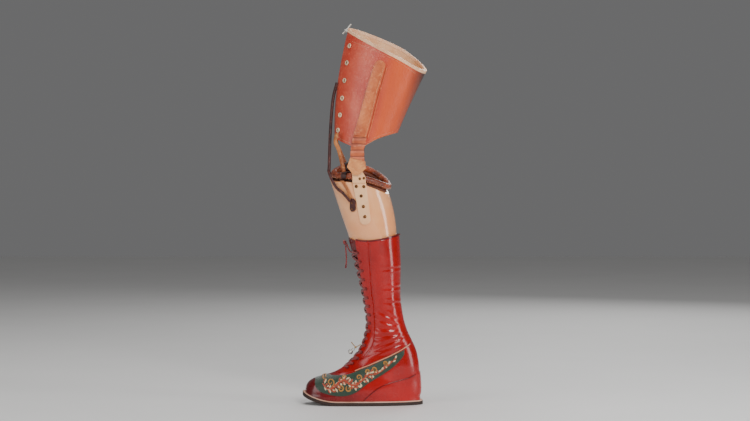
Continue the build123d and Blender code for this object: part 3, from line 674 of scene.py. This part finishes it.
# ------------------------------------------------------------ CAD nodes keep their shape, get a finish
def dress_nodes():
    slots = {}
    for part in frame["record"]["subparts"]:
        slots[part["node"]] = part.get("material_slot") or part.get("material")
    for name, node in frame["nodes"].items():
        material = LOOKS[slots[name]]
        if node.material_slots:
            for holder in node.material_slots:
                holder.material = material
        else:
            node.data.materials.append(material)


# ------------------------------------------------------------------ boot
SEAM = curve([(-140, 68), (-38, 64), (-12, 65), (8, 73), (28, 81), (48, 90), (68, 99), (96, 114), (150, 150)])
TOP = curve([(-150, 337), (-30, 335), (-14, 332), (0, 328), (54, 330), (84, 337), (150, 344)])
OPENING = [(62, 4), (88, 9), (114, 13), (140, 15), (176, 15), (214, 17), (250, 20), (286, 26), (350, 36)]
FACING = [(12, 92), (32, 118), (36, 138), (36, 168), (34, 198), (30, 228), (28, 258), (26, 288), (24, 328)]
PANEL_TOP = [(97, 111), (68, 97), (48, 88), (28, 79), (8, 71), (-12, 63), (-30, 60), (-80, 62)]
PANEL_FOOT = [(-82, 46), (-75, 31), (-58, 23.5), (-32, 19.5), (-12, 22), (2, 28), (18, 40), (38, 53),
              (78, 80),
              (96, 101)]
EYELETS = [(-16, 74), (-6, 82), (4, 92), (12, 104), (19, 118), (24, 132), (28, 147), (29, 163), (29, 180),
           (27, 197),
           (24, 214), (21, 232), (17, 250), (14, 268), (10, 286), (5, 304)]
HIDE = 2.2


def opening_turn(z):
    heights, halves = zip(*OPENING)
    return boot.turn_at_y(np.interp(z, heights, halves), z)


def make_boot_shaft():
    """Patent shaft with the soft folds it takes at the ankle and behind the calf."""
    def place(u, v):
        z = 200
        for _ in range(8):
            start = opening_turn(z)
            turn = start + u * (2 * math.pi - 2 * start)
            x = boot.raw(z, turn)[0]
            z = SEAM(x) + (TOP(x) - SEAM(x)) * v
        return z, turn
    piece = skin_piece("boot_leg", boot, place, 130, 130, 0, HIDE)
    finish_piece(piece, "shank", LOOKS["boot_red"], ["boot_shaft"])


def make_piping(name, points, side, radius, colour, count=70, lift=.3):
    where, out = on(boot, (points, side), lift, count)
    finish_piece(sweep(name, where, out, round_profile(radius)), "shank", colour)


def line_stitches(name, surface, body, groups, lift, thread, count=90, pitch=3.2, length=2.1, radius=.32):
    lines = [on(surface, (points, side), lift, count) for points in groups for side in SIDES.values()]
    stitches(name, lines, pitch, length, radius, body, THREADS[thread])


def make_boot_trim():
    seam = [(x, SEAM(x) - .2) for x in (-2, 8, 28, 48, 68, 90, 108)]
    for name, side in SIDES.items():
        make_piping("seam_piping_" + name, seam, side, .9, THREADS["tan"])
        make_piping("facing_piping_" + name, FACING, side, .9, LOOKS["boot_red"], lift=1.4)
    seams = [[(x, z + 3) for x, z in seam], [(x + 3.5, z) for x, z in FACING]]
    line_stitches("boot_stitches", boot, "shank", seams,
                  .1, "red")


WEDGE = [(16, 10.5), (28, 22), (44, 34), (60, 42), (80, 48), (104, 54), (118, 60)]


def make_wedge_seam():
    for name, side in SIDES.items():
        make_piping("wedge_seam_" + name, WEDGE, side, 1.0, LOOKS["boot_dark_red"], lift=.9)


def make_boot_lacing():
    """Flat lace crossing the opening between eyelets on the facing's edge."""
    lines = []
    for low, high in zip(EYELETS, EYELETS[1:]):
        for side in SIDES.values():
            path, out = [], []
            ends = [(low[1], -side), (high[1], side)]
            turns = [boot.turn_of(x, z, sign) for (x, z), (_, sign) in zip((low, high), ends)]
            for i in range(15):
                t = i / 14
                z = ends[0][0] + (ends[1][0] - ends[0][0]) * t
                turn = turns[0] + (turns[1] - turns[0]) * t
                lift = 1.9 - (1.5 if side > 0 else 2.3) * math.sin(math.pi * t)
                path.append(boot.at(z, turn, lift))
                out.append(boot.normal(z, turn))
            lines.append((path, out))
    for i, (path, out) in enumerate(lines):
        piece = sweep(f"lace_run_{i:02d}", path, out, strap_profile(4.2, 1.1))
        finish_piece(piece, "shank", LOOKS["red_lace"])
    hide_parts("boot_lace")
    rings = []
    for x, z in EYELETS:
        for side in SIDES.values():
            turn = boot.turn_of(x, z, side)
            rings.append((boot.at(z, turn, 1.45), boot.normal(z, turn)))
    make_rings("lace_rings", rings, 2.6, .55, "shank", LOOKS["boot_dark_red"])


def make_rings(name, places, radius, wire, body, material):
    points, faces = [], []
    for centre, out in places:
        out = out / np.linalg.norm(out)
        side = np.cross(out, (0, 0, 1))
        side = side / np.linalg.norm(side)
        up = np.cross(out, side)
        start = len(points)
        for i in range(20):
            a = 2 * math.pi * i / 20
            ray = side * math.cos(a) + up * math.sin(a)
            for k in range(8):
                b = 2 * math.pi * k / 8
                points.append(centre + ray * (radius + wire * math.cos(b)) + out * wire * math.sin(b))
        faces += grid_faces(20, 8, True, start)
        last = start + 152
        for k in range(8):
            m = (k + 1) % 8
            faces.append((last + k, last + m, start + m, start + k))
    finish_piece(make(name, points, faces), body, material)


def make_bow():
    """Two loops of flat lace and a knot."""
    x, y, z = BOW
    for name, side in SIDES.items():
        loop = [(x - 1, side * 2, z), (x - 4.4, side * 8, z + 5), (x - 5.4, side * 15, z + 4.6),
                (x - 4.6, side * 19.5, z + .6), (x - 2.6, side * 15, z - 3), (x - 1.6, side * 8, z - 2.4),
                (x - 1, side * 2, z - .6)]
        path = path_through(loop, 40)
        piece = sweep("bow_loop_" + name, path, [(-1, 0, .1)] * 40, strap_profile(1.4, 3.6))
        finish_piece(piece, "shank", LOOKS["red_lace"])
        top_x, top_z = EYELETS[-1]
        edge = boot.turn_of(top_x, top_z, side)
        front = (boot.turn_of(top_x, top_z, 1) + boot.turn_of(top_x, top_z, -1)) / 2
        lead = [tuple(boot.at(top_z + 3 * t, edge + (front - edge) * t, 2.4)) for t in (0, .4, .8)]
        path = path_through(lead + [(x - .5, side * 1.5, z - 1)], 24)
        piece = sweep("bow_lead_" + name, path, [(-1, 0, 0)] * 24, round_profile(1.5, 12, .8))
        finish_piece(piece, "shank", LOOKS["red_lace"])
    knot = [(x - 2.6, y - 4.4, z + 1.4), (x - 4.2, y - 2, z + .6), (x - 4.6, y + 1.5, z - .8),
            (x - 3, y + 4.6, z - 1.6)]
    path = path_through(knot, 24)
    piece = sweep("bow_knot", path, [(-1, 0, 0)] * 24, round_profile(2.7, 14, .85),
                  widths=[.45 + .55 * math.sin(math.pi * i / 23) for i in range(24)])
    finish_piece(piece, "shank", LOOKS["red_lace"], ["lace_bow"])


# ------------------------------------------------------------------ embroidered panel
VINE = [(-66, 44), (-56, 34), (-44, 36), (-34, 46), (-22, 50), (-10, 42), (2, 42), (14, 52), (26, 62),
        (38, 62), (52, 70),
        (66, 82), (80, 94)]


# The scrolls: centre, radius, first angle, turns.
SCROLLS = [((-50, 46), 7.5, -1.2, 1.3), ((-30, 34), 6.5, 2.0, -1.3), ((-14, 34), 6, 2.2, 1.2),
           ((-22, 56), 5, -1.4, -1.2), ((6, 56), 6.5, -1.6, 1.3), ((24, 68), 5, -1.5, -1.2),
           ((36, 72), 5.5, -1.4, 1.2), ((58, 84), 5, -1.2, 1.2), ((-62, 56), 5, -1, -1.2)]
PANEL_MARGIN = 2.2  # plain silk left round the embroidery


def panel_line(points, side, lift, count):
    return on(boot, (points, side), lift, count)


def spiral(centre, radius, start, turns, count=26):
    """A scroll: x, z points that wind in to its centre."""
    line = []
    for i in range(count):
        t = i / (count - 1)
        a = start + turns * 2 * math.pi * t
        r = radius * (1 - .86 * t)
        line.append((centre[0] + r * math.cos(a), centre[1] + r * math.sin(a)))
    return line


def on_panel(x, z):
    return PANEL_FLOOR(x) + PANEL_MARGIN < z < PANEL_ROOF(x) - PANEL_MARGIN


def make_embroidery():
    """Raised vine and scrolls of the builder's own, gold with orange and cream leaves."""
    scrolls = [spiral(*scroll) for scroll in SCROLLS]
    for name, side in SIDES.items():
        for i, line in enumerate([VINE] + scrolls):
            line = [(x, z) for x, z in line if on_panel(x, z)]
            if len(line) < 4:
                continue
            count = 90 if i == 0 else 44
            where, out = panel_line(line, side, 1.35, count)
            size = [.5 + .5 * math.sin(math.pi * min(1, 1.4 * k / count)) for k in range(count)]
            profile = round_profile(1.5 if i else 2.2, 8, .6)
            piece = sweep(f"vine_{name}_{i}", where, out, profile, widths=size)
            finish_piece(piece, "shank", THREADS["gold" if i else "orange"])
        for tone, offset in (("orange", 0), ("cream", 1)):
            leaves = []
            for k in range(offset, 50, 2):
                x, z = path_through(VINE, 51)[k]
                for flank in (1, -1):
                    lean = math.radians(40 + 25 * math.sin(k * 1.7)) * flank
                    reach = 8 + 2 * math.sin(k * 2.3)
                    leaf = []
                    for t in (0, .35, .7, 1):
                        leaf_x = x + t * reach * math.cos(lean) * .8 + 1.5
                        leaf.append((leaf_x, z + t * reach * math.sin(lean) + 2 * flank))
                    if all(on_panel(a, b) for a, b in leaf):
                        leaves.append(leaf)
            for k, leaf in enumerate(leaves):
                where, out = panel_line(leaf, side, 1.25, 9)
                size = [max(.12, math.sin(math.pi * (q + .4) / 9)) for q in range(9)]
                profile = round_profile(2.0, 8, .4)
                piece = sweep(f"leaf_{tone}_{name}_{k:02d}", where, out, profile, widths=size)
                finish_piece(piece, "shank", THREADS[tone])


PANEL_ROOF, PANEL_FLOOR = curve(PANEL_TOP), curve(PANEL_FOOT)


# ------------------------------------------------------------------ brim roll
ROLL_MIDDLE, ROLL_HALF_LENGTH, ROLL_HALF_WIDTH, ROLL_RADIUS = 10.5, 53.5, 41, 7.7
BRIM_SLOPE = math.tan(math.radians(14))


def roll_centre(turn):
    x, y = ROLL_MIDDLE - ROLL_HALF_LENGTH * math.cos(turn), ROLL_HALF_WIDTH * math.sin(turn)
    return np.array((x, y, 465 - .0046 * (x + 14) ** 2 + y * BRIM_SLOPE))


def puffed(obj, cap, frames=20):
    """Swells a closed mesh as padded hide with Blender's cloth, then keeps the result."""
    before = np.array([v.co for v in obj.data.vertices])
    cloth = obj.modifiers.new("pad", "CLOTH")
    cloth.settings.use_pressure = True
    cloth.settings.uniform_pressure_force = 4
    cloth.settings.effector_weights.gravity = 0
    cloth.settings.quality = 5
    for number in range(1, frames + 1):
        bpy.context.scene.frame_set(number)
    graph = bpy.context.evaluated_depsgraph_get()
    after = np.array([v.co for v in obj.evaluated_get(graph).data.vertices])
    move = after - before
    length = np.linalg.norm(move, axis=1, keepdims=True)
    after = before + move * np.minimum(1, cap * MM / np.maximum(length, 1e-9))
    obj.modifiers.remove(cloth)
    obj.data.vertices.foreach_set("co", after.ravel())
    obj.data.update()
    bpy.context.scene.frame_set(1)


def make_roll_skirt():
    """The roll's hide, carried down inside the shell's mouth."""
    middle = (roll_centre(0) + roll_centre(math.pi)) / 2
    ring = [roll_centre(2 * math.pi * i / 120) for i in range(120)]
    line = [p + (middle - p) * (.07, .07, 0) - (0, 0, 9.5) for p in ring]
    out = [(p - middle) * (1, 1, 0) for p in ring]
    skirt = sweep("roll_skirt", line, out, [(-5, -1.1), (5, -1.1), (5, 1.1), (-5, 1.1)], closed=True)
    finish_piece(skirt, "shank", LOOKS["liner_leather"])


def make_brim_roll():
    """Hide stuffed and gathered round the socket's mouth, with its seam on the inside."""
    rings, round_count = 150, 20
    points = []
    for i in range(rings):
        turn = 2 * math.pi * i / rings
        centre = roll_centre(turn)
        along = roll_centre(turn + .01) - roll_centre(turn - .01)
        along = along / np.linalg.norm(along)
        out = np.cross(along, (0, 0, 1))
        out = out / np.linalg.norm(out)
        up = np.cross(out, along)
        for k in range(round_count):
            a = 2 * math.pi * k / round_count
            pucker = .35 * math.sin(turn * 31 + 2 * math.sin(turn * 5)) * (.4 + .6 * max(0, -math.cos(a)))
            radius = ROLL_RADIUS - 1.0 + pucker
            points.append(centre + out * math.cos(a) * radius + up * math.sin(a) * radius)
    faces = grid_faces(rings, round_count, True)
    last = (rings - 1) * round_count
    faces += [(last + k, last + (k + 1) % round_count, (k + 1) % round_count, k) for k in range(round_count)]
    roll = make("padded_brim", points, faces)
    fix_normals(roll)
    puffed(roll, 1.0)
    smooth = roll.modifiers.new("smooth", "SUBSURF")
    smooth.levels = smooth.render_levels = 1
    finish_piece(roll, "shank", LOOKS["roll_leather"], ["brim_roll"])
    make_roll_skirt()
    line = [roll_centre(2 * math.pi * i / 160) - (0, 0, ROLL_RADIUS * .62) for i in range(161)]
    middle = roll_centre(0) * .5 + roll_centre(math.pi) * .5
    out = [(p - middle) * (1, 1, 0) for p in line]
    line = [p + o / np.linalg.norm(o) * ROLL_RADIUS * .8 for p, o in zip(line, out)]
    stitches("brim_stitches", [(line, out)], 5.5, 3.6, .4, "shank", THREADS["tan"])


# ------------------------------------------------------------------ corset trim
RIM = curve([(-100, 257), (-56, 251), (-35, 247.3), (-14, 243.2), (8, 238.7), (30, 233.9), (53, 226.5),
             (115, 203)])
HEM = curve([(-90, 56), (-56, 44), (-43, 39), (-19, 34.5), (-10, 33), (10, 44), (25, 58), (42, 70),
             (130, 118)])
COVER = [(-5.5, 57.4), (-4, 100), (-3.5, 150), (-1, 200)]
COVER_WIDTHS = [25, 24, 23, 22]


HOLES = [(-68, 226), (-65, 192), (-61, 157), (-57, 122), (-53, 89), (-49.7, 58.7)]


def make_corset_rings():
    places = []
    for x, z in HOLES:
        for side in SIDES.values():
            turn = corset.turn_of(x, z, side)
            centre = corset.out(corset.at(z, turn, 1.9))
            places.append((centre, corset.out(corset.at(z, turn, 2.9)) - centre))
    make_rings("corset_rings", places, 3.8, 1.25, "thigh", LOOKS["eyelet_metal"])


def make_cover_welts():
    """Raised seam behind each bar cover."""
    for name, side in SIDES.items():
        line = [(x + w / 2 + 3, z) for (x, z), w in zip(COVER, COVER_WIDTHS)]
        where, out = on(corset, (line, side), .3, 80)
        piece = sweep("cover_welt_" + name, where, out, round_profile(1.1))
        finish_piece(piece, "thigh", LOOKS["bar_leather"])


def make_corset_trim():
    lift = .35
    rim_slope = math.tan(math.radians(10))
    groups = []
    for side in SIDES.values():
        rim_line = []
        for x in (-66, -50, -30, -10, 10, 30, 50, 72):
            half = hermite(CORSET, 235)[2]
            rim_line.append((x, RIM(x) + side * half * rim_slope * .9 - 5))
        hem_line = [(x, HEM(x) + 4.5) for x in (-48, -35, -19, -10, 10, 25, 42, 56)]
        groups += [on(corset, (rim_line, side), lift, 90), on(corset, (hem_line, side), lift, 90)]
    stitches("corset_stitches", groups, 4.2, 2.7, .36, "thigh", THREADS["tan"])
    rows = []
    for side in SIDES.values():
        left = [(x - w / 2 + 1.8, z) for (x, z), w in zip(COVER, COVER_WIDTHS)]
        right = [(x + w / 2 - 1.8, z) for (x, z), w in zip(COVER, COVER_WIDTHS)]
        rows += [on(corset, (line, side), 6.7, 90) for line in (left, right)]
    stitches("cover_stitches", rows, 3.4, 2.2, .36, "thigh", THREADS["tan"])


# ------------------------------------------------------------------ straps across the knee
FRONT_STRAP = [(-38, 16, 642), (-46, 17, 608), (-51, 19, 548), (-53.5, 22, 478), (-53, 26, 462)]


def on_shank(x, z, side, lift):
    turn = shank.turn_of(x, z, side)
    return shank.at(z, turn, lift)


def make_straps():
    for name, side in SIDES.items():
        long_run = [(x, side * y, z) for x, y, z in FRONT_STRAP]
        long_run += [on_shank(-36, 436, side, 5.2), on_shank(-22, 423, side, 5.2)]
        long_run += [on_shank(-9, 407, side, 5.4)]
        short_run = [(-37, side * 40, 541), (-40, side * 42, 524), (-33, side * 44, 506),
                     (-23, side * 46.5, 473.5 + 9 * side)]
        straps = (("front", long_run, "dark_strap", 5.6), ("side", short_run, "tan_strap", 8.6))
        for kind, run, slot, width in straps:
            path = path_through(run, 90 if kind == "front" else 44)
            out = [(-.6, side * .8, .1)] * len(path)
            piece = sweep(f"{kind}_thong_{name}", path, out, strap_profile(width, 2.6))
            piece.data.materials.append(LOOKS[slot])
            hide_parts(f"{kind}_strap_{name}")
            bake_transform(piece)


dress_nodes()
make_boot_shaft()
make_boot_trim()
make_wedge_seam()
make_boot_lacing()
make_bow()
make_embroidery()
make_brim_roll()
make_corset_trim()
make_corset_rings()
make_cover_welts()
make_straps()

bpy.context.view_layer.update()
